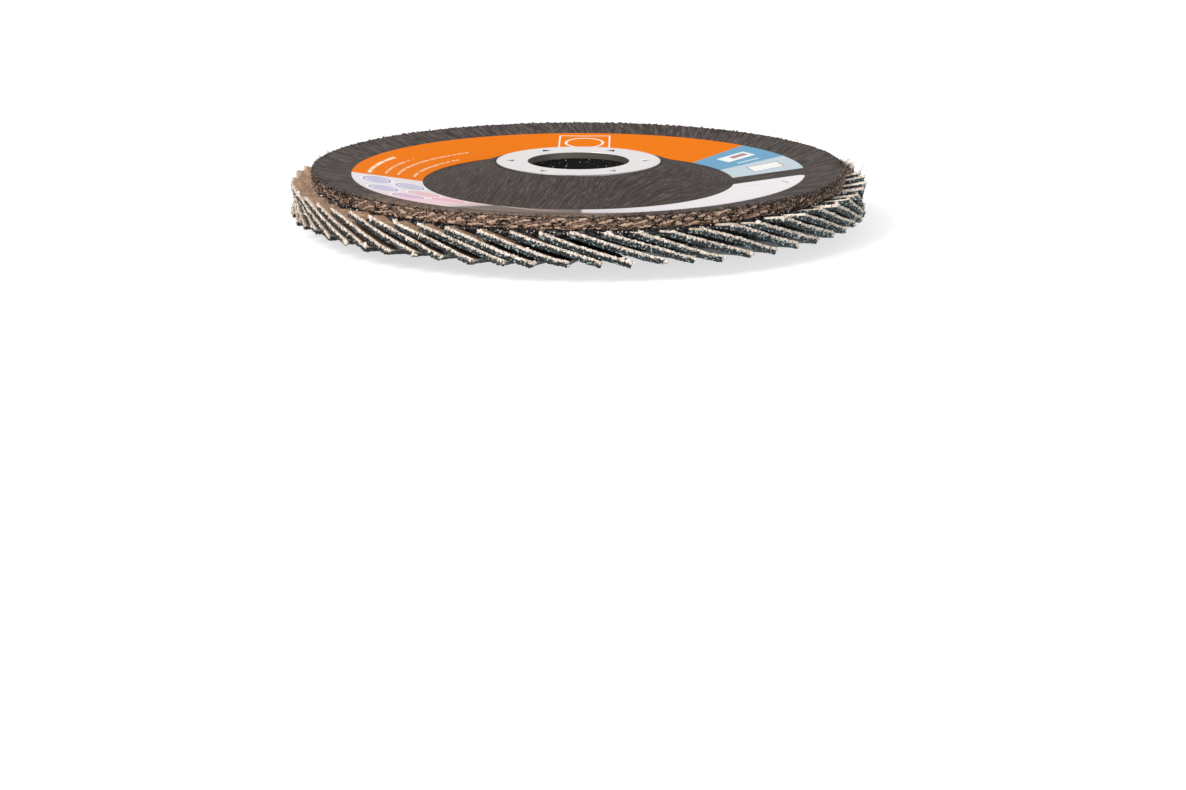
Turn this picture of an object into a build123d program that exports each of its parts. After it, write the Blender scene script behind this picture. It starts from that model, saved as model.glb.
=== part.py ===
"""Flap disc for an angle grinder: a dished fibre plate with a ring of slanted abrasive flaps glued under it.

The frame's origin is the centre of the bore on the arbor ring's top face. +Z points to the
labelled back of the disc, and the flaps hang below the plate. All sizes are millimetres.
"""

from build123d import *
import os
from math import asin, atan, cos, degrees, pi, radians, sin, sqrt, tan

os.makedirs("parts", exist_ok=True)

# Driving dimensions: the arbor ring, a flanged steel bush pressed from sheet.
bore_diameter = 22.23
flange_width = 6.9
ring_sheet = 0.8
collar_wall = 0.8
collar_length = 1.5
bore_edge_radius = 0.2
flange_edge_radius = 0.15
stake_count = 6
stake_width = 2.4
stake_length = 2.2
stake_drop = 0.9

# Driving dimensions: the moulded backing plate.
disc_diameter = 125.0
flap_overhang = 4.65
plate_thickness = 2.7
dish_angle = 8.2
hub_land = 1.0
hub_land_flat = 0.15
hub_height = 4.4
hub_thickness = 3.8
valley_radius = 32.4
valley_round = 7.0
ring_proud = 0.4
hole_relief = 0.3

# Driving dimensions: the paper label, an open ring with a gap on its +X side.
label_setback = 0.1
label_width = 15.5
label_thickness = 0.15
label_gap = 8.3
label_gap_shift = -0.85
label_corner = 1.8

# Driving dimensions: the flaps and the adhesive that carries them.
flap_groups = 30
flaps_per_group = 2
first_flap_turn = 2.0
flap_length = 18.9
flap_width = 25.0
flap_thickness = 1.0
flap_gap = 0.27
glue_line = 0.45
bed_depth = 2.1
bed_margin = 0.6

# Clearances between pieces.
fit_gap = 0.05
stake_gap = 0.1


def crossing(r_1, z_1, slope_1, r_2, z_2, slope_2):
    """Point where two straight generators of the plate meet, each given by a point and its slope."""
    r = (z_2 - z_1 + slope_1 * r_1 - slope_2 * r_2) / (slope_1 - slope_2)
    return r, z_1 + slope_1 * (r - r_1)


def corners_at(corners, *radii):
    """The corners of a half section that lie at any of the given radii."""
    return [corner for corner in corners if min(abs(corner.X - r) for r in radii) < fit_gap / 2]


# Radii and heights of the ring and of its seat in the plate.
bore_radius = bore_diameter / 2
collar_radius = bore_radius + collar_wall
ring_radius = bore_radius + flange_width
stake_radius = (collar_radius + ring_radius) / 2
seat_z = -ring_sheet
seat_radius = ring_radius + fit_gap
hub_top_z = ring_proud - ring_sheet
hub_top_radius = ring_radius + hub_land
hub_under_z = seat_z - hub_thickness
hole_radius = bore_radius + hole_relief
pocket_z = -collar_length - fit_gap

# The two cones of the plate, top and underside.
plate_radius = disc_diameter / 2 - flap_overhang
valley_z = hub_top_z - hub_height
hub_slope = -hub_height / (valley_radius - hub_top_radius)
dish_slope = tan(radians(dish_angle))
rim_z = valley_z + (plate_radius - valley_radius) * dish_slope
hub_wall_drop = plate_thickness / cos(atan(hub_slope))
dish_wall_drop = plate_thickness / cos(radians(dish_angle))
rim_under_z = rim_z - dish_wall_drop
under_valley = crossing(
    hub_top_radius, hub_top_z - hub_wall_drop, hub_slope, plate_radius, rim_under_z, dish_slope
)
under_hub = crossing(hub_top_radius, hub_top_z - hub_wall_drop, hub_slope, 0, hub_under_z, 0)

# The shoulder's round takes up the land beside the ring, all but its flat part.
shoulder_round = (hub_top_radius - seat_radius - hub_land_flat) / tan(-atan(hub_slope) / 2)

# The slant follows from the room that neighbouring flaps have at their inner ends.
flap_count = flap_groups * flaps_per_group
flap_pitch = 2 * pi / flap_count
flap_inner_radius = disc_diameter / 2 - flap_width
flap_slant = asin((flap_thickness + flap_gap) / (flap_inner_radius * flap_pitch))
flap_run = flap_length * cos(flap_slant)
flap_drop = flap_length * sin(flap_slant)

# The plane of a flap on the X axis: down_slope falls towards +Y, and along_edge runs outwards,
# rising with the dish.
down_slope = Vector(0, cos(flap_slant), -sin(flap_slant))
edge_rise = sin(radians(dish_angle))
edge_lean = edge_rise * tan(flap_slant)
along_edge = Vector(sqrt(1 - edge_rise**2 - edge_lean**2), edge_lean, edge_rise)
tip_z = rim_under_z + flap_overhang * dish_slope - glue_line / cos(radians(dish_angle))
tip_x = sqrt((disc_diameter / 2) ** 2 - (flap_run / 2) ** 2)
flap_plane = Plane(
    origin=(tip_x, 0, tip_z - flap_drop / 2), x_dir=down_slope, z_dir=along_edge.cross(down_slope)
)

# The adhesive bead and the label lie on the plate's two cones.
bed_inner_radius = flap_inner_radius - bed_margin
bed_outer_radius = plate_radius - bed_margin
bed_drop = bed_depth / cos(radians(dish_angle))
valley_reach = valley_round * tan((radians(dish_angle) - atan(hub_slope)) / 2)
label_inner_radius = valley_radius + valley_reach + label_setback
label_outer_radius = label_inner_radius + label_width
label_rise = label_thickness / cos(radians(dish_angle))


def label_z(r):
    """Height of the plate's dished top face at a radius."""
    return rim_z + (r - plate_radius) * dish_slope


def under_z(r):
    """Height of the plate's dished underside at a radius."""
    return rim_under_z + (r - plate_radius) * dish_slope


def v_prism(allowance, depth):
    """Upright triangular prism at the first stake, its tip outwards, grown by an allowance on every side."""
    with BuildPart() as prism:
        with BuildSketch(Plane.XY):
            with BuildLine():
                Polyline(
                    (stake_radius - stake_length / 2, -stake_width / 2),
                    (stake_radius + stake_length / 2, 0),
                    (stake_radius - stake_length / 2, stake_width / 2),
                    close=True,
                )
            make_face()
            offset(amount=allowance, kind=Kind.INTERSECTION)
        extrude(amount=-depth)
    return prism.part


# Arbor ring: a flange with a short collar, held by tongues punched down into the plate.
with BuildPart() as stake:
    add(v_prism(0, ring_sheet + stake_drop))
    with BuildSketch(Plane.XZ):
        with BuildLine():
            Polyline(
                (stake_radius - stake_length / 2, 0),
                (stake_radius - stake_length / 2, -ring_sheet),
                (stake_radius + stake_length / 2, -ring_sheet - stake_drop),
                (stake_radius + stake_length / 2, -stake_drop),
                close=True,
            )
        make_face()
    extrude(amount=stake_width, both=True, mode=Mode.INTERSECT)

with BuildPart() as arbor_ring:
    with BuildSketch(Plane.XZ):
        with BuildLine():
            Polyline(
                (bore_radius, 0),
                (ring_radius, 0),
                (ring_radius, -ring_sheet),
                (collar_radius, -ring_sheet),
                (collar_radius, -collar_length),
                (bore_radius, -collar_length),
                close=True,
            )
        make_face()
    revolve(axis=Axis.Z)
    top_edges = arbor_ring.edges().filter_by(GeomType.CIRCLE).group_by(Axis.Z)[-1]
    bore_edge, flange_edge = top_edges.sort_by(SortBy.RADIUS)
    fillet(bore_edge, bore_edge_radius)
    fillet(flange_edge, flange_edge_radius)
    with PolarLocations(0, stake_count):
        add(v_prism(0, ring_sheet), mode=Mode.SUBTRACT)
        add(stake.part)

# Backing plate: one moulding with a raised hub, a valley round it and a dished flange.
with BuildPart() as backing_plate:
    with BuildSketch(Plane.XZ):
        with BuildLine():
            Polyline(
                (hole_radius, pocket_z),
                (collar_radius + fit_gap, pocket_z),
                (collar_radius + fit_gap, seat_z),
                (seat_radius, seat_z),
                (seat_radius, hub_top_z),
                (hub_top_radius, hub_top_z),
                (valley_radius, valley_z),
                (plate_radius, rim_z),
                (plate_radius, rim_under_z),
                under_valley,
                under_hub,
                (hole_radius, hub_under_z),
                close=True,
            )
        make_face()
        fillet(corners_at(vertices(), hub_top_radius, under_hub[0]), shoulder_round)
        fillet(corners_at(vertices(), valley_radius, under_valley[0]), valley_round)
    revolve(axis=Axis.Z)
    with PolarLocations(0, stake_count):
        add(v_prism(stake_gap, ring_sheet + stake_drop + stake_gap), mode=Mode.SUBTRACT)

# Label: a thin paper ring on the dished flange, open at the gap.
with BuildPart() as label:
    with BuildSketch(Plane.XZ):
        with BuildLine():
            Polyline(
                (label_inner_radius, label_z(label_inner_radius)),
                (label_outer_radius, label_z(label_outer_radius)),
                (label_outer_radius, label_z(label_outer_radius) + label_rise),
                (label_inner_radius, label_z(label_inner_radius) + label_rise),
                close=True,
            )
        make_face()
    revolve(axis=Axis.Z)
    with BuildSketch(Plane.XY):
        Circle(label_outer_radius)
        Circle(label_inner_radius, mode=Mode.SUBTRACT)
        with Locations((0, label_gap_shift)):
            Rectangle(plate_radius, label_gap, align=(Align.MIN, Align.CENTER), mode=Mode.SUBTRACT)
        outer_corners = vertices().sort_by(Axis.X)[-2:]
        fillet(outer_corners.sort_by(Axis.Y)[0], label_corner)
    extrude(amount=2 * hub_height, both=True, mode=Mode.INTERSECT)

# One flap: a flat rectangle of coated cloth, laid flat on its slanted plane below the flange.
with BuildPart() as flap:
    with BuildSketch(flap_plane):
        Rectangle(flap_length, flap_width, align=(Align.CENTER, Align.MIN))
    extrude(amount=-flap_thickness)

# Adhesive: a bead under the flange that the upper edges of all the flaps are bedded in.
with BuildPart() as adhesive_bed:
    with BuildSketch(Plane.XZ):
        with BuildLine():
            Polyline(
                (bed_inner_radius, under_z(bed_inner_radius)),
                (bed_outer_radius, under_z(bed_outer_radius)),
                (bed_outer_radius, under_z(bed_outer_radius) - bed_drop),
                (bed_inner_radius, under_z(bed_inner_radius) - bed_drop),
                close=True,
            )
        make_face()
    revolve(axis=Axis.Z)
    with PolarLocations(0, flap_count, start_angle=first_flap_turn):
        add(flap.part, mode=Mode.SUBTRACT)

arbor_ring.part.label = "arbor_ring"
backing_plate.part.label = "backing_plate"
label.part.label = "label"
adhesive_bed.part.label = "adhesive_bed"
for piece in (arbor_ring, backing_plate, label, adhesive_bed):
    export_step(piece.part, f"parts/{piece.part.label}.step")

# The flaps are grouped with their neighbours, each flap a solid of its own.
group_turn = 360 / flap_groups
for group in range(flap_groups):
    first_turn = first_flap_turn + group * group_turn
    with BuildPart() as flap_pair:
        with PolarLocations(0, flaps_per_group, start_angle=first_turn, angular_range=group_turn):
            add(flap.part)
    flap_pair.part.label = f"flap_pair_{group + 1:02d}"
    export_step(flap_pair.part, f"parts/{flap_pair.part.label}.step")
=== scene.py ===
# %% [markdown]
# # A flap disc dressed around its packed frame
#
# A flap disc is a dished fibre plate with a pressed steel ring in its bore, a printed paper
# ring on its back, and sixty small rectangles of abrasive cloth glued under its rim like a
# fan. The frame already holds every part at its true size. This lesson keeps the ring, the
# plate, the label and the adhesive as they come and gives them finishes, and it builds again
# what a plain solid can't show: wrinkled facing, a ragged rim, frayed cloth and grit.

# %% Load the frame
import math

import bpy
import numpy as np
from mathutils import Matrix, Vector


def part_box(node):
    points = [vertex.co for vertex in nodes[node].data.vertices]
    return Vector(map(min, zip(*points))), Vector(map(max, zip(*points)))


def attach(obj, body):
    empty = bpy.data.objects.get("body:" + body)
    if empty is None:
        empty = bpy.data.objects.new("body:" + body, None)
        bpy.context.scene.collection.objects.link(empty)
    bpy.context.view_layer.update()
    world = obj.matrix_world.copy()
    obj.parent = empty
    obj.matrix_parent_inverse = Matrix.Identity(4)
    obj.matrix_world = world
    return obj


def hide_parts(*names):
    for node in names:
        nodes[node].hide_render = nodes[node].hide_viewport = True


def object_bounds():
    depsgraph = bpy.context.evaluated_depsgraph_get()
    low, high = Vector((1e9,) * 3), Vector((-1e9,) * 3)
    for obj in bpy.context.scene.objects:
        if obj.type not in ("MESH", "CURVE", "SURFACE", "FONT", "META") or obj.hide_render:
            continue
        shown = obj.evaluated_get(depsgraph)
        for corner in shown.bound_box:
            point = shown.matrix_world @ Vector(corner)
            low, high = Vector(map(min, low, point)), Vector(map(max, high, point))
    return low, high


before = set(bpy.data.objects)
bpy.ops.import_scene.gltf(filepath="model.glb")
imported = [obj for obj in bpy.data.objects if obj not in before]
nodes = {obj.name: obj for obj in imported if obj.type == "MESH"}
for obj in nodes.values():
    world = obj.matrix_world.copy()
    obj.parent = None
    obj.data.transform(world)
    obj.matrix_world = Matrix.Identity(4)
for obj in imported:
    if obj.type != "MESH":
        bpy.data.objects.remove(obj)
cad_low, cad_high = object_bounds()
print("CAD nodes:", len(nodes), "box in mm:", [round(1000 * v, 2) for v in cad_high - cad_low])

# %% [markdown]
# ## Sizes
#
# The frame is in metres, but a hand-sized part is easier to think about in millimetres. Every
# size below is a millimetre, and one factor turns it into metres as it goes into a mesh.
# Sizes that the frame shows are read from its boxes, so that they can't drift away from it.

# %% Sizes, in millimetres
MM = 0.001
ring_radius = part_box("arbor_ring")[1].x / MM
plate_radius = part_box("backing_plate")[1].x / MM
hub_top_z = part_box("backing_plate")[1].z / MM
disc_low_z = cad_low.z / MM
bore_radius = 11.115
hub_land = 1.0
shoulder_round = 4.995
valley_radius = 32.4
valley_drop = 4.4
valley_round = 7.0
dish_angle = math.radians(8.2)
plate_thickness = 2.7
label_inner_radius = 34.13
label_outer_radius = 49.63

disc_radius = 62.5
flap_count = 60
flap_pairs = 30
first_flap_turn = math.radians(2.0)
flap_length = 18.9
flap_width = 25.0
flap_thickness = 1.0
flap_gap = 0.27
glue_line = 0.45

dish_slope = math.tan(dish_angle)
valley_z = hub_top_z - valley_drop
rim_z = valley_z + (plate_radius - valley_radius) * dish_slope
rim_under_z = rim_z - plate_thickness / math.cos(dish_angle)
print(f"plate radius {plate_radius:.2f}, rim from {rim_under_z:.2f} to {rim_z:.2f} mm")

# %% [markdown]
# ## From arrays to a mesh
#
# Every shape here is a grid: rows and columns of points that a formula gives at once. One
# helper lists the quads of a grid, and can join its last row or column to the first, which
# makes a ring or a tube. Another fills a Blender mesh with whole arrays, far faster than
# adding one vertex after another. A mesh filled like this is shaded smooth.

# %% Mesh helpers
def grid_quads(rows, columns, join_rows=False, join_columns=False):
    """Quads of a rows by columns grid whose point (i, j) has the number i * columns + j."""
    i = np.arange(rows if join_rows else rows - 1)[:, None]
    j = np.arange(columns if join_columns else columns - 1)[None, :]
    next_i, next_j = (i + 1) % rows, (j + 1) % columns
    corners = [a * columns + b for a, b in ((i, j), (next_i, j), (next_i, next_j), (i, next_j))]
    return np.stack(np.broadcast_arrays(*corners), -1).reshape(-1, 4)


def new_object(name, data):
    """An object around a mesh, a camera or a lamp, linked to the scene."""
    made = bpy.data.objects.new(name, data)
    bpy.context.scene.collection.objects.link(made)
    return made


def add_piece(name, points, quads, materials, slot, finishes=None, values=None, uv=None):
    """A mesh piece from an array of points in millimetres and an array of quads.

    finishes says which material each quad has. values gives one number a point for each
    name, and uv gives two.
    """
    mesh = bpy.data.meshes.new(name)
    mesh.vertices.add(len(points))
    mesh.vertices.foreach_set("co", (points * MM).astype(np.float32).ravel())
    mesh.loops.add(quads.size)
    mesh.loops.foreach_set("vertex_index", quads.astype(np.int32).ravel())
    mesh.polygons.add(len(quads))
    mesh.polygons.foreach_set("loop_start", np.arange(0, quads.size, 4, dtype=np.int32))
    if finishes is not None:
        mesh.polygons.foreach_set("material_index", finishes.astype(np.int32))
    mesh.update(calc_edges=True)
    for key, numbers in (values or {}).items():
        layer = mesh.attributes.new(key, "FLOAT", "POINT")
        layer.data.foreach_set("value", numbers.astype(np.float32).ravel())
    if uv is not None:
        layer = mesh.uv_layers.new(name="cloth_map")
        layer.data.foreach_set("uv", uv[quads.ravel()].astype(np.float32).ravel())
    for material in materials:
        mesh.materials.append(material)
    piece = new_object(name, mesh)
    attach(piece, "root")
    return piece


print("a 3 by 4 ring has", len(grid_quads(3, 4, join_rows=True)), "quads")

# %% [markdown]
# ## Shader arithmetic
#
# A finish is a formula over the surface: where the label is orange, how deep the wrinkles
# are. Writing it as nodes one by one hides the formula, so a small class wraps an output
# socket and lets Python's own operators add the Math nodes.

# %% Socket arithmetic
class Value:
    """One output socket of a material, with arithmetic that adds Math nodes."""

    def __init__(self, recipe, socket):
        self.recipe = recipe
        self.socket = socket

    def __add__(self, other):
        return self.recipe.math("ADD", self, other)

    def __sub__(self, other):
        return self.recipe.math("SUBTRACT", self, other)

    def __rsub__(self, other):
        return self.recipe.math("SUBTRACT", other, self)

    def __mul__(self, other):
        return self.recipe.math("MULTIPLY", self, other)

    def __pow__(self, other):
        return self.recipe.math("POWER", self, other)

    def __abs__(self):
        return self.recipe.math("ABSOLUTE", self)

    __radd__ = __add__
    __rmul__ = __mul__

    def above(self, edge, soft):
        """0 below edge and 1 above it, with a ramp as wide as soft between them."""
        return self.recipe.math("MULTIPLY_ADD", self, 1 / soft, 0.5 - edge / soft, clamp=True)

    def below(self, edge, soft):
        """1 below edge and 0 above it: the same ramp, turned round."""
        return self.above(edge, -soft)

    def between(self, low, high, soft):
        """1 between two edges and 0 outside them."""
        return self.above(low, soft) * self.below(high, soft)


print("a socket knows", sum(callable(method) for method in vars(Value).values()), "methods")

# %% [markdown]
# ## A material as a recipe
#
# Every node comes from one method, which sets the node's settings first and then fills or
# links its sockets. Paint goes on in coats, as at a bench: a colour, then a mask and the
# colour that it lays on.

# %% Recipes
def paint(red, green, blue):
    """A display colour, three numbers from 0 to 255, as the linear colour of a shader."""
    shares = np.array([red, green, blue]) / 255
    linear = np.where(shares <= 0.04045, shares / 12.92, ((shares + 0.055) / 1.055) ** 2.4)
    return (*[float(v) for v in linear], 1.0)


class Recipe:
    """A new material with one Principled shader, or a world, built by naming nodes."""

    def __init__(self, name, world=None):
        self.material = world or bpy.data.materials.new(name)
        self.material.use_nodes = True
        self.tree = self.material.node_tree
        self.shader = self.tree.nodes["Background" if world else "Principled BSDF"]

    def fill(self, node, inputs):
        """Links a socket where the input is a value of this recipe, and else sets it."""
        for key, value in inputs.items():
            if isinstance(value, Value):
                self.tree.links.new(value.socket, node.inputs[key])
            else:
                node.inputs[key].default_value = value

    def outputs(self, kind, settings=None, inputs=None):
        """All outputs of a new node of that type, by name. Its settings are set before its
        sockets are filled or linked."""
        node = self.tree.nodes.new(kind)
        for key, value in (settings or {}).items():
            setattr(node, key, value)
        self.fill(node, inputs or {})
        return {socket.name: Value(self, socket) for socket in node.outputs if socket.enabled}

    def node(self, kind, settings=None, inputs=None, output=None):
        """One output of such a node, by its name, or else the first."""
        made = self.outputs(kind, settings, inputs)
        return made[output or next(iter(made))]

    def math(self, operation, *inputs, clamp=False):
        settings = {"operation": operation, "use_clamp": clamp}
        return self.node("ShaderNodeMath", settings, dict(enumerate(inputs)))

    def set(self, **inputs):
        """Fills the shader's own sockets: base_color stands for Base Color."""
        for key, value in inputs.items():
            self.fill(self.shader, {key.replace("_", " ").title().replace("Ior", "IOR"): value})

    def place(self):
        """x, y and z of the surface point in millimetres."""
        coordinates = self.node("ShaderNodeTexCoord", output="Object")
        metres = self.outputs("ShaderNodeSeparateXYZ", inputs={0: coordinates})
        return [value * (1 / MM) for value in metres.values()]

    def vector(self, x=0.0, y=0.0, z=0.0):
        return self.node("ShaderNodeCombineXYZ", inputs={0: x, 1: y, 2: z})

    def noise(self, *at, scale=1.0, detail=2.0, roughness=0.5):
        """Soft noise from 0 to 1, read at up to three coordinates."""
        inputs = {"Scale": scale, "Detail": detail, "Roughness": roughness}
        return self.node("ShaderNodeTexNoise", inputs={"Vector": self.vector(*at), **inputs})

    def mix(self, factor, a, b):
        """Colour a where factor is 0 and colour b where it is 1."""
        a, b = (paint(*colour) if isinstance(colour, tuple) else colour for colour in (a, b))
        return self.node("ShaderNodeMix", {"data_type": "RGBA"}, {0: factor, 6: a, 7: b})

    def coats(self, colour, *layers):
        """A colour under coats of paint, each a mask and the colour that it lays on."""
        for mask, over in layers:
            colour = self.mix(mask, colour, over)
        return colour

    def bump(self, height, strength, distance):
        """A normal pushed by a height, over a distance in millimetres."""
        inputs = {"Height": height, "Strength": strength, "Distance": distance * MM}
        return self.node("ShaderNodeBump", inputs=inputs)

    def attribute(self, name):
        return self.node("ShaderNodeAttribute", {"attribute_name": name}, output="Fac")

    def seen_or_mirrored(self):
        """1 for a ray from the camera or off a glossy surface, and 0 for light that bounces."""
        rays = self.outputs("ShaderNodeLightPath")
        return self.math("MAXIMUM", rays["Is Camera Ray"], rays["Is Glossy Ray"])


def dress(node_name, recipe):
    """Gives a CAD node its finish, and leaves its mesh alone."""
    mesh = nodes[node_name].data
    mesh.materials.clear()
    mesh.materials.append(recipe.material)
    print(node_name, "finish has", len(recipe.tree.nodes), "nodes")


print("mid grey in linear light:", round(paint(128, 128, 128)[0], 3))

# %% [markdown]
# ## The camera, the light and the floor
#
# The disc lies on a pale floor, seen from a little above through a long lens. A uniform
# bright world stands for the white tent of a product studio, and one large lamp from the
# upper left gives the forms a lit and a shaded side. A weaker lamp, low on the right, lifts
# the grit out of the shade. The floor and the world look white to the camera and in
# mirrors, and greyer to light that bounces, which keeps the gaps between the flaps deep.

# %% Camera
FOCAL_LENGTH = 86.62
SENSOR_WIDTH = 36.0
CAMERA_PLACE = (0.003188, -0.618065, 0.107852)
CAMERA_DIP = math.radians(14.60)
NEAREST = 0.01
camera_data = bpy.data.cameras.new("camera")
camera_data.lens = FOCAL_LENGTH
camera_data.sensor_width = SENSOR_WIDTH
camera_data.clip_start = NEAREST
camera = new_object("camera", camera_data)
camera.location = CAMERA_PLACE
camera.rotation_euler = (math.pi / 2 - CAMERA_DIP, 0, 0)
bpy.context.scene.camera = camera
bpy.context.scene.view_settings.view_transform = "Standard"
print("camera at", [round(v, 3) for v in camera.location])

# %% World and lamps
WORLD_LIGHT = 0.51
world = bpy.data.worlds.new("studio")
bpy.context.scene.world = world
studio = Recipe("studio", world)
seen = studio.seen_or_mirrored()
studio.set(color=(1, 1, 1, 1), strength=seen * (1 - WORLD_LIGHT) + WORLD_LIGHT)


def add_lamp(name, place, size, power, colour):
    """A square area lamp that faces the disc's centre, all in metres and watts."""
    lamp_data = bpy.data.lights.new(name, "AREA")
    lamp_data.size = size
    lamp_data.energy = power
    lamp_data.color = colour
    lamp = new_object(name, lamp_data)
    lamp.location = place
    x, y, z = place
    lamp.rotation_euler = (math.atan2(math.hypot(x, y), z), 0, math.atan2(x, -y))


KEY_PLACE, FILL_PLACE = (-0.55, -0.55, 0.62), (0.5, -0.75, 0.16)
add_lamp("key_lamp", KEY_PLACE, size=0.5, power=8.2, colour=(1.0, 0.975, 0.94))
add_lamp("fill_lamp", FILL_PLACE, size=0.3, power=3.3, colour=(0.95, 0.98, 1.0))
print("lamps at", KEY_PLACE, "and", FILL_PLACE)

# %% Floor
FLOOR_SIZE = 4.0
FLOOR_GLOW = 0.66
corners = np.array([(-1, -1), (1, -1), (1, 1), (-1, 1)]) * FLOOR_SIZE / 2
floor_mesh = bpy.data.meshes.new("floor")
floor_mesh.from_pydata([(x, y, disc_low_z * MM) for x, y in corners], [], [(0, 1, 2, 3)])
floor = new_object("floor", floor_mesh)
pale = Recipe("studio_floor")
seen = pale.seen_or_mirrored()
pale.set(base_color=pale.mix(seen, (142, 142, 144), (188, 188, 190)), roughness=0.9)
pale.set(emission_color=pale.mix(seen, (0, 0, 0), (255, 255, 255)), emission_strength=FLOOR_GLOW)
pale.set(specular_ior_level=0.0)
floor_mesh.materials.append(pale.material)
print("floor at", round(disc_low_z, 3), "mm")

# %% [markdown]
# ## Steel for the arbor ring
#
# The ring is pressed from bright sheet: smooth metal with a faint drift in its gloss. Its
# outer edge gets a thin dark line of painted shade, the punched stakes are painted dark as
# their shade, and the wall of the bore is duller and carries a painted brown reflection. These
# are masks on the radius and height, so the CAD node keeps its mesh and takes one material.

# %% Ring finish
STAKES_FROM, STAKES_TO = 12.3, 17.5
steel = Recipe("bright_pressed_steel")
x, y, z = steel.place()
radius = (x * x + y * y) ** 0.5
cloudy = steel.noise(x, y, z, scale=0.55, detail=3)
grainy = steel.noise(x, y, z, scale=7.0, detail=2)
# Painted reflection: the bore wall is painted olive brown. It is also rougher.
wall = radius.below(bore_radius + 0.12, 0.1) * z.below(-0.12, 0.1)
# Painted shade: the punched stakes are painted dark.
punched_shade = radius.between(STAKES_FROM, STAKES_TO, 0.2) * z.below(-0.1, 0.12)
# Painted shade: a thin dark line round the ring's outer edge.
edge_shade = radius.above(ring_radius - 0.1, 0.08)
shade = steel.coats(
    steel.mix(cloudy, (216, 211, 212), (232, 228, 228)),
    (wall * 0.9, (56, 47, 31)),
    (punched_shade * 0.9, (58, 54, 54)),
    (edge_shade * 0.7, (70, 62, 60)),
)
gloss = cloudy * 0.16 + grainy * 0.1 + wall * 0.25 + 0.24
steel.set(base_color=shade, metallic=1.0, roughness=gloss)
steel.set(normal=steel.bump(grainy + cloudy * 2, 0.12, 0.05))
dress("arbor_ring", steel)

# %% [markdown]
# ## Resin and glass for the plate
#
# The plate is layers of open glass mesh pressed in brown phenolic resin. The top is covered
# by a facing, so this finish shows on the underside and in the hole: a square mesh of pale
# threads under dark resin, with a streaked wall where the layers are cut through. The hole's
# wall is then painted near black over this, as painted shade, with pale specks as painted glints.

# %% Plate finish
WEAVE_PITCH = 2.6
resin = Recipe("glass_mesh_in_resin")
x, y, z = resin.place()
radius = (x * x + y * y) ** 0.5
wander = resin.noise(x, y, z, scale=0.35, detail=2) * 2.4
warp = resin.math("SINE", x * (2 * math.pi / WEAVE_PITCH) + wander)
weft = resin.math("SINE", y * (2 * math.pi / WEAVE_PITCH) + wander)
threads = resin.math("MAXIMUM", warp, weft)
layers = resin.noise(x * 0.5, y * 0.5, z * 3.5, detail=4, roughness=0.7)
speck = resin.noise(x, y, z * 1.6, scale=1.5, detail=3, roughness=0.7)
# Painted shade: the hole is painted near black, and the pale specks on it are painted glints.
hole = radius.below(bore_radius + 0.6, 0.2)
shade = resin.coats(
    resin.mix(threads.above(0.55, 0.5), (44, 34, 30), (96, 78, 60)),
    (layers.above(0.62, 0.1) * 0.6, (140, 120, 96)),
    (hole, (9, 8, 8)),
    (hole * speck.above(0.66, 0.03), (190, 184, 172)),
)
resin.set(base_color=shade, roughness=layers * 0.3 + 0.4 + hole * 0.25)
resin.set(specular_ior_level=0.2, normal=resin.bump(threads + layers * 2, 0.5, 0.12))
dress("backing_plate", resin)

# %% [markdown]
# ## Ink and paper for the label
#
# The label is a paper ring pressed into the dish. Its print is a handful of fields, each a
# range of angle and radius, so the whole label is one formula in polar coordinates. Small
# panels and rings have a frame of their own: a centre at a radius and an angle, with one
# axis outwards and one along the ring. Nothing on it is a word or a sign: broken bars stand
# for lines of print, and plain rings for small pictures.

# %% Label coordinates
SHARP = 0.12
PRINT_SHIFT = 0.3
paper = Recipe("printed_label_paper")
x, y, z = paper.place()
x = x - PRINT_SHIFT
radius = (x * x + y * y) ** 0.5
turn = paper.math("FLOORED_MODULO", paper.math("ARCTAN2", y, x) * (180 / math.pi), 360.0)


def local(centre_radius, centre_degrees):
    """Distances from a point on the label: outwards, and along the ring."""
    c, s = math.cos(math.radians(centre_degrees)), math.sin(math.radians(centre_degrees))
    return x * c + y * s - centre_radius, y * c - x * s


def panel(outwards, sideways, half_length, half_width):
    """1 inside a rectangle about a local frame's centre."""
    return abs(outwards).below(half_length, SHARP) * abs(sideways).below(half_width, SHARP)


def ring(outwards, sideways, half_length, half_width, line):
    """1 on the outline of an ellipse, whose line is a share of its size."""
    reach = ((outwards * (1 / half_length)) ** 2 + (sideways * (1 / half_width)) ** 2) ** 0.5
    return reach.between(1 - line, 1, 0.06)


def sector(start, end):
    """1 between two angles in degrees."""
    return turn.between(start, end, 0.2)


print("label from", label_inner_radius, "to", label_outer_radius, "mm")

# %% Printed fields, panels and bars
LINE_INK = (250, 244, 236)
ink = paper.coats(
    (240, 236, 240),
    (sector(0, 22), (196, 212, 220)),
    (sector(22, 41), (112, 166, 198)),
    (sector(41, 182.5), (236, 121, 4)),
)

# Each panel: its centre's radius and angle, its half length and half width, and its ink.
for centre_radius, degrees, half_length, half_width, strength, colour in (
    (42.1, 32.9, 3.7, 2.4, 1.0, (244, 242, 244)),
    (43.0, 33.3, 2.05, 1.0, 1.0, (168, 142, 148)),
    (42.0, 25.6, 2.7, 0.4, 0.8, (236, 240, 244)),
    (42.5, 13.5, 3.6, 2.9, 1.0, (150, 96, 100)),
    (42.5, 13.5, 3.4, 2.7, 1.0, (246, 244, 242)),
):
    shape = panel(*local(centre_radius, degrees), half_length, half_width)
    ink = paper.mix(shape * strength, ink, colour)

u, v = local(42.2, 88.8)
outline = panel(u, v, 5.4, 6.0) * (1 - panel(u, v, 5.05, 5.65))
ink = paper.coats(ink, (outline, LINE_INK), (ring(u, v, 3.7, 4.6, 0.12), LINE_INK))

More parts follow.
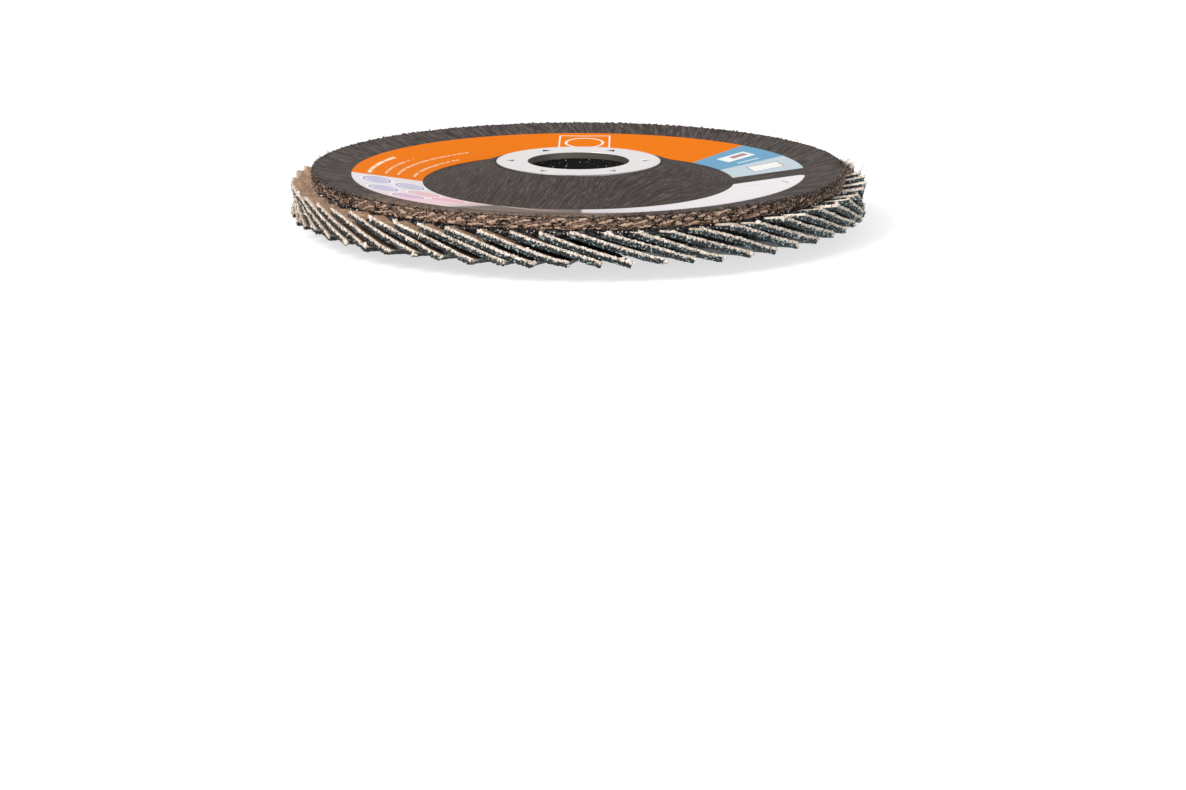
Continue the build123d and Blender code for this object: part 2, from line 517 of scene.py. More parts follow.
# Each bar: its radius, the angles where it starts and ends, and half its width.
for bar_radius, start, end, half_width in (
    (46.2, 155, 180, 0.42), (42.7, 152, 178, 0.26),
    (40.1, 130, 177, 0.26), (36.6, 139, 176, 0.26),
):
    dashes = paper.noise(turn * 0.9, bar_radius, detail=0).above(0.4, 0.06)
    bar = abs(radius - bar_radius).below(half_width, SHARP) * sector(start, end)
    ink = paper.mix(bar * dashes * (1.7 * half_width + 0.25), ink, (252, 232, 206))
print("nodes for the fields and bars:", len(paper.tree.nodes))

# %% Tinted rings, dark field, painted shade and dirty edge
tint = paper.mix(turn.above(212, 14), (226, 221, 226), (242, 200, 208))
ink = paper.mix(sector(182.5, 236) * 0.75, ink, tint)
for centre_radius, degrees, colour in (
    (44.6, 189.5, (108, 112, 200)), (38.2, 196.5, (104, 126, 196)),
    (45.6, 203.5, (128, 120, 204)), (45.0, 217.0, (150, 120, 196)),
    (38.6, 211.0, (226, 120, 140)), (38.9, 225.0, (228, 130, 150)),
):
    u, v = local(centre_radius, degrees)
    ink = paper.coats(
        ink,
        (ring(u, v, 3.6, 4.7, 0.14) * 0.8, (252, 250, 253)),
        (ring(u, v, 3.1, 4.1, 0.16) * 0.65, colour),
        (ring(u, v, 2.2, 3.2, 1.0) * 0.32, colour),
    )

# A dark field with pale streaks, a grey stretch of painted shade after it, and its dirty outer
# edge.
DARK_FIELD_END = 270.8
streak = paper.noise(radius * 0.7, turn * 0.05)
drifting = radius - (turn - 248) * 0.35
front_shade = turn.above(DARK_FIELD_END, 0.8) * turn.below(284, 14)
dirty_edge = turn.between(246, 276, 8) * radius.above(label_outer_radius - 3.4, 2.6)
ink = paper.coats(
    ink,
    (turn.above(238, 5) * turn.below(DARK_FIELD_END, 0.8) * 0.95, (112, 98, 90)),
    (turn.between(240, 264, 4) * abs(drifting - 36).below(1.1, 0.8) * 0.75, (214, 196, 186)),
    (turn.between(232, 271, 4) * streak.above(0.56, 0.08) * 0.5, (172, 158, 148)),
    (front_shade * (streak * 0.6 - 0.1), (150, 144, 146)),
    (dirty_edge * 0.6, (122, 104, 92)),
)

# Two faint pale-grey strokes near the open end.
u, v = local(45.8, 345.5)
ink = paper.mix(panel(u + v * 0.6, v, 0.28, 1.9) * 0.5, ink, (120, 116, 124))
ink = paper.mix(panel(*local(38.6, 344.5), 2.0, 0.22) * 0.4, ink, (130, 126, 134))

fibre = paper.noise(x, y, scale=1.4, detail=4, roughness=0.65)
ripple = paper.noise(x * 0.8, y * 0.16)
ink = paper.mix(fibre.above(0.5, 0.5) * 0.07, ink, (120, 110, 106))
paper.set(base_color=ink, roughness=fibre * 0.2 + 0.4, specular_ior_level=0.008)
paper.set(normal=paper.bump(ripple * 3 + fibre, 0.25, 0.12))
dress("label", paper)

# %% [markdown]
# ## Adhesive
#
# Epoxy fills the space under the rim and between the upper edges of the flaps. It is nearly
# black and half glossy, lumpy where it was pressed, and dusted with pale crumbs.

# %% Adhesive finish
glue = Recipe("black_epoxy")
spot = glue.place()
swell = glue.noise(*spot, scale=0.8, detail=4, roughness=0.6)
dusting = glue.noise(*spot, scale=2.1, detail=2, roughness=0.6)
shade = glue.mix(swell, (10, 10, 13), (40, 40, 48))
shade = glue.mix(dusting.above(0.66, 0.03), shade, (214, 210, 204))
glue.set(base_color=shade, roughness=swell * 0.4 + 0.2)
glue.set(normal=glue.bump(swell * 3 + dusting, 0.6, 0.3))
dress("adhesive_bed", glue)

# %% [markdown]
# ## The facing of the plate
#
# Before pressing, a sheet of black fleece is laid on the glass. It takes up the form of the
# mould and wrinkles in fine lines that all run roughly one way. The facing is a profile
# carried round the axis: over the hub, down to the valley and out to the rim, then back
# inside the plate, so that it is a closed skin. A sum of waves whose crests follow the
# sheet's own direction lifts its points, and the finest lines are left to the shader.

# %% Waves
TURN = 2 * np.pi


def ring_waves(turn, across, cycles, lengths, count, seed, slant=0.0):
    """Sum of count cosine waves about -1 to 1 that close on themselves round the axis.

    Each wave has a random whole number of cycles round the ring and a random length across it.
    slant runs from -1 to 1 and says how many of them lean one way rather than the other.
    """
    rng = np.random.default_rng(seed)
    total = np.zeros(np.broadcast(turn, across).shape)
    for _ in range(count):
        side = 1 if rng.random() < 0.5 + slant / 2 else -1
        phase = rng.integers(*cycles) * turn + side * TURN / rng.uniform(*lengths) * across
        total += np.cos(phase + rng.uniform(0, TURN))
    return total / np.sqrt(2 * count)


def sheet_waves(across, along, lengths, stretch, count, seed):
    """Sum of count cosine waves about -1 to 1 whose crests all run roughly along one direction.

    Each wave has a random length across the crests and is stretch times longer along them.
    """
    rng = np.random.default_rng(seed)
    total = np.zeros(np.broadcast(across, along).shape)
    for _ in range(count):
        length = rng.uniform(*lengths)
        lean = rng.normal() / (length * stretch)
        total += np.cos(TURN * (across / length + along * lean) + rng.uniform(0, TURN))
    return total / np.sqrt(2 * count)


print("waves at the +X side:", ring_waves(np.zeros(1), 0, (2, 9), (1, 2), 5, 0).round(2))

# %% Profiles
def rounded_path(corners, rounds, steps=10):
    """A polyline through corners, each inner corner replaced by a parabola that starts and ends
    where a round of that radius would touch the two straights."""
    corners = np.array(corners, float)
    path = [corners[:1]]
    for before, corner, after, radius in zip(corners, corners[1:], corners[2:], rounds):
        arrive, leave = corner - before, after - corner
        arrive, leave = arrive / np.linalg.norm(arrive), leave / np.linalg.norm(leave)
        reach = radius * math.tan(math.acos(np.clip(arrive @ leave, -1, 1)) / 2)
        u = np.linspace(0, 1, steps)[:, None]
        start, end = corner - arrive * reach, corner + leave * reach
        path.append((1 - u) ** 2 * start + 2 * u * (1 - u) * corner + u**2 * end)
    path.append(corners[-1:])
    return np.concatenate(path)


plate_top = rounded_path(
    [(ring_radius, hub_top_z), (ring_radius + hub_land, hub_top_z),
     (valley_radius, valley_z), (plate_radius, rim_z)],
    [shoulder_round, valley_round],
)


def plate_height(r):
    """Height of the plate's top at a radius, read off its rounded profile."""
    return np.interp(r, plate_top[:, 0], plate_top[:, 1])


def turned(r, turn, z):
    """Points at radius r, angle turn and height z, one row a point."""
    points = np.broadcast_arrays(r * np.cos(turn), r * np.sin(turn), z)
    return np.stack(points, -1).reshape(-1, 3)


def compass(turn):
    """Unit vectors outwards and along the turn at each angle, one row an angle."""
    c, s, level = np.cos(turn), np.sin(turn), np.zeros(len(turn))
    return np.stack([c, s, level], -1), np.stack([-s, c, level], -1)


def unit(vectors):
    """Each row divided by its own length."""
    return vectors / np.linalg.norm(vectors, axis=1, keepdims=True)


upright = np.array([0, 0, 1.0])
print("plate height at the valley:", round(float(plate_height(valley_radius)), 3), "mm")

# %% Tubes
TUBE_SIDES = 4
TAPER = 0.6


def tubes(start, heading, sag, length, thickness, steps=6):
    """Four-sided tubes along parabolas: start + heading * s + sag * s squared, thinning with s.

    start, heading and sag are one row a tube. Each tube is closed by a quad at either end.
    """
    s = np.linspace(0, 1, steps)[None, :, None]
    reach = length[:, None, None]
    line = start[:, None] + heading[:, None] * reach * s + sag[:, None] * reach * s**2
    side = unit(np.cross(heading, [0.3, 0.2, 0.93]))
    other = np.cross(heading, side)
    corner = np.arange(TUBE_SIDES) * math.pi / 2
    cosines, sines = np.cos(corner)[None, :, None], np.sin(corner)[None, :, None]
    around = cosines * side[:, None] + sines * other[:, None]
    width = thickness[:, None, None, None] * (1 - TAPER * s[..., None])
    points = (line[:, :, None] + around[:, None] * width).reshape(-1, 3)
    body = grid_quads(steps, TUBE_SIDES, join_columns=True)
    last = (steps - 1) * TUBE_SIDES
    one = np.concatenate([body, [[0, 1, 2, 3], [last + 3, last + 2, last + 1, last]]])
    first_points = np.arange(len(start)) * steps * TUBE_SIDES
    return points, (one[None] + first_points[:, None, None]).reshape(-1, 4)


print("quads in a tube of six steps:", len(grid_quads(6, TUBE_SIDES, join_columns=True)) + 2)

# %% Block skins and lumps
def block_skin(na, nt, nn):
    """Quads on the six sides of an na by nt by nn block of points, facing outwards, the side
    each belongs to, and the numbers of the points they use. The sides are: 0 top, 1 under,
    2 outer, 3 inner, 4 upper end, 5 lower end."""
    number = np.arange(na * nt * nn).reshape(na, nt, nn)

    def side(points, flip):
        quads = points.ravel()[grid_quads(*points.shape)]
        return quads[:, ::-1] if flip else quads

    sides = [
        side(number[:, :, 0], True), side(number[:, :, -1], False),
        side(number[:, 0, :], False), side(number[:, -1, :], True),
        side(number[0], True), side(number[-1], False),
    ]
    used, packed = np.unique(np.concatenate(sides), return_inverse=True)
    return packed.reshape(-1, 4), np.repeat(np.arange(6), [len(quads) for quads in sides]), used


BALL = 4
ball_quads, _, ball_used = block_skin(BALL, BALL, BALL)
even = np.tan(np.linspace(-math.pi / 4, math.pi / 4, BALL))
cube = np.stack(np.meshgrid(even, even, even, indexing="ij"), -1)
ball_points = unit(cube.reshape(-1, 3)[ball_used])


def lumps(centres, turn, size, roughness, rng):
    """Lumpy balls: the skin of a cube blown up to a sphere, each point pushed by a random
    share, scaled to size outwards, along the rim and upwards."""
    outward, sideways = compass(turn)
    axes = np.stack([outward, sideways, np.broadcast_to(upright, outward.shape)], 1)
    push = 1 + roughness * rng.normal(size=(len(centres), len(ball_points), 1))
    offsets = np.einsum("bpk,bkc->bpc", ball_points * push * size[:, None], axes)
    first_points = np.arange(len(centres)) * len(ball_points)
    quads = (ball_quads[None, :, ::-1] + first_points[:, None, None]).reshape(-1, 4)
    return (centres[:, None] + offsets).reshape(-1, 3), quads


def add_many(name, parts, materials, slot, **values):
    """One piece of many tubes or lumps, kept off the floor. Each value is an array with one
    number for each tube or lump, and goes to all of its points."""
    points, quads = parts
    points[:, 2] = np.maximum(points[:, 2], disc_low_z)
    values = {key: np.repeat(each, len(points) // len(each)) for key, each in values.items()}
    add_piece(name, points, quads, materials, slot, values=values)
    print(name, "has", len(quads), "quads")


print("quads in a lump:", len(ball_quads))

# %% Facing wrinkles
FACING_LIFT = 0.05
FACING_TURNS = 800
WRINKLE_HEIGHT = 0.045
SHEET_ANGLE = math.radians(65)
HUB_WRINKLES_END = 42
LABEL_COVER = 7.9
FRAY_FROM = 55
turns = np.linspace(0, TURN, FACING_TURNS, endpoint=False)[:, None]
top_r = np.concatenate([
    np.linspace(ring_radius + 0.12, 33.6, 40), np.linspace(34.3, 49.5, 16),
    np.linspace(49.8, plate_radius + 0.02, 26),
])[None, :]
back_r = np.linspace(plate_radius - 0.5, ring_radius + 0.12, 14)[None, :]
plan_x, plan_y = top_r * np.cos(turns), top_r * np.sin(turns)
across = plan_x * math.sin(SHEET_ANGLE) - plan_y * math.cos(SHEET_ANGLE)
along = plan_x * math.cos(SHEET_ANGLE) + plan_y * math.sin(SHEET_ANGLE)
hub_wrinkle = sheet_waves(across, along, (0.9, 2.4), 7.0, 26, 3)
flange_wrinkle = ring_waves(turns - (top_r - 50) * 0.004, top_r, (120, 330), (9.0, 40.0), 30, 4)
wrinkle = np.where(top_r < HUB_WRINKLES_END, hub_wrinkle, flange_wrinkle)
open_fleece = np.abs(top_r - (label_inner_radius + label_outer_radius) / 2) >= LABEL_COVER
print("wrinkles from", wrinkle.min().round(2), "to", wrinkle.max().round(2))

# %% Facing with its frayed edge
fine_fray = ring_waves(turns, 0, (110, 420), (1, 2), 24, 5)
slow_fray = ring_waves(turns, 0, (14, 60), (1, 2), 10, 6)
edge_fray = 0.12 + fine_fray * 0.26 + slow_fray * 0.16
edge_lift = 0.16 + 0.16 * ring_waves(turns, 0, (90, 420), (1, 2), 24, 8)
ragged = np.clip(0.35 + ring_waves(turns, 0, (60, 420), (1, 2), 40, 9) * 0.8, 0.05, 1)
lip_r = plate_radius + 0.42 + 0.1 * ring_waves(turns, 0, (200, 420), (1, 2), 20, 10)


def outer_share(r):
    """0 up to where the fleece begins to fray, then growing with a third power to 1."""
    return np.clip((r - FRAY_FROM) / (plate_radius - FRAY_FROM), 0, 1) ** 3


def frayed(r):
    """Radii pushed outwards at random near the rim."""
    return r + outer_share(r) * edge_fray


def over_plate(r, lift):
    """Height of the fleece: the plate's height at the frayed radius, and a lift."""
    return plate_height(np.minimum(frayed(r), plate_radius)) + lift


lift = FACING_LIFT + wrinkle * WRINKLE_HEIGHT * open_fleece + outer_share(top_r) * edge_lift
lip_z = np.concatenate([np.full_like(ragged, rim_z + 0.02), rim_z - (0.04 + 0.6 * ragged**2)], 1)
facing_r = np.concatenate([frayed(top_r), lip_r, lip_r, frayed(back_r)], 1)
facing_z = np.concatenate([over_plate(top_r, lift), lip_z, over_plate(back_r, -0.12)], 1)
facing_points = turned(facing_r, turns, facing_z)
facing_quads = grid_quads(*facing_r.shape, join_rows=True, join_columns=True)[:, ::-1]
print("facing quads:", len(facing_quads))

# %% [markdown]
# ## Black fleece
#
# The fleece is charcoal, with painted creases: a painted highlight on their ridges and painted
# shade in their folds, and a few pale hairs on the hub. A crease is noise drawn out along its
# own direction. On the hub that is the sheet's: straight
# at first, curved at the left, and hugging the ring at the right. On the flange the creases
# are leaning spokes. Brown dust from cutting lies on the front left of the flange.

# %% Fleece coordinates
ROUND = 50.0
HUG_FROM, HUG_WIDTH = 12, 20
CURVE = 0.0086
fleece = Recipe("wrinkled_black_fleece")
x, y, z = fleece.place()
radius = (x * x + y * y) ** 0.5
on_flange = radius.above(38, 2)
c, s = math.cos(SHEET_ANGLE), math.sin(SHEET_ANGLE)
bend = fleece.noise(x, y, scale=0.06, detail=1) - 0.5
hugging = x.above(HUG_FROM, HUG_WIDTH)
curved = x * x * (x.below(0, 4) * CURVE)
hub_across = (x * s - y * c - curved + bend * 7) * (1 - hugging) + radius * hugging
hub_along = (x * c + y * s) * (1 - hugging) + y * hugging
angle = fleece.math("ARCTAN2", y, x)
swirl = fleece.math("COSINE", angle - math.radians(20)) * 0.0075 + 0.0016
spoke = angle - (radius - ROUND) * swirl
round_x, round_y = fleece.math("COSINE", spoke) * ROUND, fleece.math("SINE", spoke) * ROUND


def creases(hub_scale, flange_scale, seed, detail):
    """Noise drawn out along the creases: straight ones on the hub, spokes on the flange."""
    straight = hub_across * hub_scale, hub_along * (hub_scale * 0.11), seed
    drawn_out = radius * (flange_scale * 0.12) + seed
    spokes = round_x * flange_scale, round_y * flange_scale, drawn_out
    hub, flange = (fleece.noise(*at, detail=detail, roughness=0.6) for at in (straight, spokes))
    flange = (flange - 0.5) * 2.1 + 0.5
    return ((hub - 0.5) * 0.95 + 0.49) * (1 - on_flange) + flange * on_flange


print("nodes for the fleece's coordinates:", len(fleece.tree.nodes))

# %% Fleece finish
lines = creases(1.1, 1.0, 0.0, 2)
fine = creases(2.4, 2.1, 20.0, 2)
hairs = creases(3.4, 2.8, 47.0, 1).above(0.64, 0.1)
hair_patches = fleece.noise(x, y, 9.0, scale=0.12).above(0.48, 0.2)
mottle = fleece.noise(x, y, scale=0.22, detail=3)
dust = fleece.noise(x * 1.2, y * 0.35, z, scale=0.9, detail=3, roughness=0.65)
dusty = x.between(-44, 9, 9) * y.below(-30, 4) * radius.above(51, 2)
# Painted shade and highlight: the crease noise darkens the folds and lightens the ridges.
shade = fleece.coats(
    fleece.mix(lines.above(0.5, 0.3), (60, 53, 51), (82, 74, 71)),
    (fine.above(0.61, 0.12) * 0.4, (122, 114, 110)),
    (fine.below(0.41, 0.1) * 0.45, (36, 31, 30)),
    (mottle.above(0.6, 0.3) * 0.15, (100, 90, 84)),
    ((1 - on_flange) * 0.16, (36, 31, 30)),
    (hairs * hair_patches * (0.36 - on_flange * 0.32), (158, 150, 145)),
    (dusty * dust.above(0.47, 0.16) * 0.6, (138, 116, 100)),
)
fleece.set(base_color=shade, roughness=fine * 0.2 + 0.65, specular_ior_level=0.08)
fleece.set(normal=fleece.bump(lines * 2 + fine, 0.7, 0.18))
in_fleece = [fleece.material], "fibre_plate"
add_piece("fleece_facing", facing_points, facing_quads, *in_fleece)
print("fleece nodes:", len(fleece.tree.nodes))

# %% [markdown]
# ## The cut rim
#
# The plate is cut from a larger pressing, and its edge shows the ends of the glass threads:
# flat pale bundles that overlap, with thin cracks between them that are painted near black as
# painted shade. A sum of waves is zero along lines that close into cells, so its size without
# its sign is a map of bundles and cracks. The same number pushes a point of the narrow band
# outwards and is kept as an attribute, so that the paint falls on the bundles and not beside
# them. Its sign gives neighbouring bundles different browns. At the disc's two ends the
# bundles open into a net, where the zero lines are the threads and the cells are the holes,
# painted near black as shade too, and towards these ends the rim is painted paler, as painted
# light.

# %% Rim
RIM_STEPS = 1700
NET_CENTRE = 186
CRACK, THREAD = 2.2, 4.2
rim_turns = np.linspace(0, TURN, RIM_STEPS, endpoint=False)[:, None]
rim_path = rounded_path(
    [(plate_radius - 0.9, rim_z - 0.9 * dish_slope - 0.15), (plate_radius + 0.1, rim_z - 0.08),
     (plate_radius + 0.1, rim_under_z - 0.02), (plate_radius - 0.8, rim_under_z - 0.1)],
    [0.5, 0.35], steps=6,
)
walked = np.concatenate([[0], np.cumsum(np.linalg.norm(np.diff(rim_path, axis=0), axis=1))])
walk = np.linspace(0, walked[-1], 24)
path_r, path_z = (np.interp(walk, walked, rim_path[:, k]) for k in (0, 1))
slope_r, slope_z = np.gradient(path_r), np.gradient(path_z)
out_r, out_z = -slope_z / np.hypot(slope_r, slope_z), slope_r / np.hypot(slope_r, slope_z)
across = walk[None, :]
bundles = ring_waves(rim_turns, across, (30, 135), (0.9, 2.2), 70, 11, slant=0.1)
strands = ring_waves(rim_turns, across, (110, 300), (0.55, 1.1), 70, 12, slant=0.1)
print("rim points round and across:", bundles.shape)

# %% Bundles and nets on the rim
cells = CRACK * np.minimum(np.abs(bundles) * 1.1, np.abs(strands) * 1.4 + 0.08)
loft = np.clip(cells, 0, 1)
tone = np.clip(0.5 + 0.8 * bundles + 0.4 * strands, 0, 1)
net = np.clip(1.2 - THREAD * np.abs(strands), 0, 1)
left_end = np.clip((42 - np.abs(np.degrees(rim_turns) - NET_CENTRE)) / 18, 0, 1)
right_end = np.clip((np.cos(rim_turns) - 0.55) / 0.2, 0, 1)
loft = loft + (net - loft) * (left_end + 0.7 * right_end)
# Painted light: the rim is painted paler towards its two ends.
tone = np.clip(tone + 0.9 * np.clip(np.abs(np.cos(rim_turns)) - 0.55, 0, 1), 0, 1)
fullness = np.interp(across / walk[-1], [0, 0.16, 0.85, 1], [0, 1, 1, 0])
push = (0.24 * loft + 0.14 * tone) * fullness


def band(outside, inside):
    """The outer columns, and two more for the band's back, which is hidden in the plate."""
    return np.concatenate([outside, np.broadcast_to(inside, (RIM_STEPS, 2))], 1)


band_r = band(path_r + out_r * push, plate_radius - 1.2)
band_z = band(path_z + out_z * push * 0.4, np.array([rim_under_z + 0.1, rim_z - 0.5]))
band_values = {"loft": band(loft, 0.0), "tone": band(tone, 0.0)}
rim_points = turned(band_r, rim_turns, band_z)
rim_quads = grid_quads(*band_r.shape, join_rows=True, join_columns=True)[:, ::-1]
print("rim quads:", len(rim_quads), "reach", round(float(band_r.max()), 2), "mm")

# %% Rim finish
thread = Recipe("torn_glass_threads")
x, y, z = thread.place()
grime = thread.noise(x, y, z * 2.6, scale=1.7, detail=4, roughness=0.7)
streak = thread.noise(x, y, z * 4.5, scale=1.6)
body = (thread.attribute("loft") + (grime - 0.5) * 0.8).above(0.53, 0.32)
paleness = (thread.attribute("tone") * 0.6 + streak * 0.4).above(0.48, 0.6)
# Painted shade: where body is low, in the cracks and net holes, the rim is near black.
shade = thread.coats(
    (18, 12, 9),
    (body, thread.mix(paleness, (102, 80, 69), (206, 175, 153))),
    (grime.below(0.42, 0.08) * 0.75, (30, 21, 18)),
)
thread.set(base_color=shade, roughness=grime * 0.2 + 0.7, specular_ior_level=0.2)
thread.set(normal=thread.bump(grime + streak, 0.7, 0.25))
in_glass = [thread.material], "fibre_plate"
add_piece("rim_threads", rim_points, rim_quads, *in_glass, values=band_values)
print("rim nodes:", len(thread.tree.nodes))

# %% [markdown]
# ## Torn threads on the rim
#
# Cutting tears glass threads out of the rim. Most lie along the edge and arch a little. At
# the right end they stand out like spikes and tangle into a tuft. Where a thread starts,
# how it leans and how far it arches are columns of random numbers, so all of them are
# worked out as one array.

# %% Torn threads
TORN = 2500
TATTERED = 160
rng = np.random.default_rng(23)
turn = rng.uniform(0, TURN, TORN)
radial, tangent = compass(turn)
one_each = (TORN, 1)
lean = rng.normal(0.12, 0.3, one_each)
lean = lean + (rng.random(one_each) < 0.2) * rng.normal(0, 0.9, one_each)
arch = rng.uniform(0.05, 0.3, one_each)
spiky = (radial[:, :1] > 0.5) & (rng.random(one_each) < 0.6)
lean = np.where(spiky, rng.normal(0.1, 1.1, one_each), lean)
arch = np.where(spiky, rng.uniform(0.2, 0.9, one_each), arch)
start = radial * (plate_radius + 0.24) + upright * rng.uniform(rim_under_z + 0.1, rim_z, one_each)
way_round = np.where(rng.random(one_each) < 0.5, 1, -1)
heading = unit(tangent * way_round + upright * lean + radial * arch)

# The first threads are moved to the right end, as a tuft that points every way.
tattered = np.arange(TORN) < TATTERED
right_end, _ = compass(rng.normal(0.0, 0.05, TORN))
place = right_end * (plate_radius + 0.1) + upright * (rim_z - rng.uniform(0.0, 1.2, one_each))
every_way = unit(place / plate_radius + rng.normal(0, 0.7, (TORN, 3)) + upright * 0.25)
start = np.where(tattered[:, None], place, start)
heading = np.where(tattered[:, None], every_way, heading)
length = np.where(tattered, rng.uniform(0.8, 2.6, TORN), rng.uniform(0.5, 1.9, TORN))
thick = rng.uniform(0.04, 0.09, TORN)
torn = tubes(start, heading, -radial * arch * 0.95, length, thick, 5)
loft, tone = (rng.random(TORN) < 0.62) * 0.9 + 0.05, rng.random(TORN) * 0.8 + 0.2
add_many("torn_threads", torn, *in_glass, loft=loft, tone=tone)

# %% [markdown]
# ## Tufts of fleece
#
# The fleece is cut with the plate, and its edge ends in short tufts, half of them in clumps.
# Some stand up from the edge and show against the light, and the rest droop over the rim.
# They are the same tubes in the fleece's own finish.

# %% Tufts
TUFTS, CLUMPS, END_TUFTS, STANDING = 1100, 90, 80, 620
one_each = (TUFTS, 1)
tuft = np.arange(TUFTS)
clump = rng.uniform(0, TURN, CLUMPS)
in_clump = rng.random(TUFTS) < 0.5
turn = rng.choice(clump, TUFTS) + rng.normal(0, 0.006, TUFTS)
turn = np.where(in_clump, turn, rng.uniform(0, TURN, TUFTS))
turn = np.where(tuft < END_TUFTS, rng.normal(0.0, 0.04, TUFTS), turn)
radial, tangent = compass(turn)
standing = radial * (plate_radius + rng.uniform(-0.35, 0.1, one_each)) + upright * (rim_z + 0.05)
drooping = radial * (plate_radius + 0.5) + upright * (rim_z - rng.uniform(0.1, 1.0, one_each))
spread = radial * rng.uniform(0.2, 1, one_each) + tangent * rng.normal(0, 0.7, one_each)
rising = spread + upright * rng.uniform(-0.2, 0.9, one_each)
falling = tangent * rng.normal(0, 1.4, one_each) - upright * rng.uniform(0.1, 1, one_each)
droops = tuft[:, None] > STANDING
start = np.where(droops, drooping, standing)
heading = unit(np.where(droops, falling + radial * 0.12, rising))
length = rng.uniform(0.25, 0.7, TUFTS) * np.where(tuft < END_TUFTS, 1.4, 1)
thick = np.where(rng.random(TUFTS) < 0.06, 0.24, rng.uniform(0.06, 0.13, TUFTS))
tufts = tubes(start, heading, rng.normal(0, 0.3, (TUFTS, 3)), length, thick, 4)
add_many("fleece_tufts", tufts, *in_fleece)

# %% [markdown]
# ## Where the flaps lie
#
# Every flap is a flat rectangle. Its long side slopes down along the disc's turn, and its
# short side runs in from the edge, parallel to the dished underside. The frame was made from
# the same few numbers, so the same formula puts each new flap where its CAD solid is.

# %% Flap axes
flap_pitch = TURN / flap_count
inner_flap_radius = disc_radius - flap_width
slant = math.asin((flap_thickness + flap_gap) / (inner_flap_radius * flap_pitch))
down = np.array([0, math.cos(slant), -math.sin(slant)])
edge_rise = math.sin(dish_angle)
edge_lean = edge_rise * math.tan(slant)
outwards = np.array([math.sqrt(1 - edge_rise**2 - edge_lean**2), edge_lean, edge_rise])
upwards = np.cross(outwards, down)
overhang_rise = (disc_radius - plate_radius) * dish_slope
tip_z = rim_under_z + overhang_rise - glue_line / math.cos(dish_angle)
tip_x = math.sqrt(disc_radius**2 - (flap_length * math.cos(slant) / 2) ** 2)
middle = np.array([tip_x, 0, tip_z - flap_length * math.sin(slant) / 2])
upper_corner = middle - down * flap_length / 2


def on_flap(a, t, n, turn):
    """Point of a flap: a down its slope, t in from the disc's edge, n up from its top face."""
    point = upper_corner + a[..., None] * down
    point = point - t[..., None] * outwards + n[..., None] * upwards
    px, py, pz = np.moveaxis(point, -1, 0)
    c, s = np.cos(turn), np.sin(turn)
    return np.stack([c * px - s * py, s * px + c * py, pz], -1)


print("slant", round(math.degrees(slant), 2), "degrees")

# %% [markdown]
# ## Sixty frayed flaps
#
# A flap is woven cloth with grit bonded to its underside. At the cut edge the cloth frays
# into a cream line of yarn ends, with the grit as a dark crumbly layer under it. The mesh is
# the skin of a block of points: many along the slope, close together near the outer edge and
# wide apart inside, and seven through the thickness. Random pushes fray the cloth outwards
# and pit the grit, and fade away from the edge. The line between yarn and grit wanders by a
# layer. Each flap also tilts a little about its glued inner end, because hand-set flaps
# never repeat exactly.

# %% The skin of a flap
ALONG = 80
INWARD = np.array([
    0, 0.18, 0.36, 0.56, 0.78, 1.02, 1.3, 1.62, 2.0, 2.5, 3.1, 3.9, 5.0, 6.6, 9.0, 12.5, 18.0,
    flap_width,
])
LAYERS = np.array([0, -0.22, -0.44, -0.58, -0.72, -0.86, -1.0]) * flap_thickness
CLOTH_LAYERS = 3
RAW_YARN, CLOTH_BACK, GRIT = 0, 1, 2
skin_quads, skin_sides, used = block_skin(ALONG, len(INWARD), len(LAYERS))
quad_layers = (used[skin_quads] % len(LAYERS)).max(axis=1)
quad_columns = (used[skin_quads] // (len(INWARD) * len(LAYERS))).min(axis=1)
print("quads in a flap:", len(skin_quads), "points:", len(used))

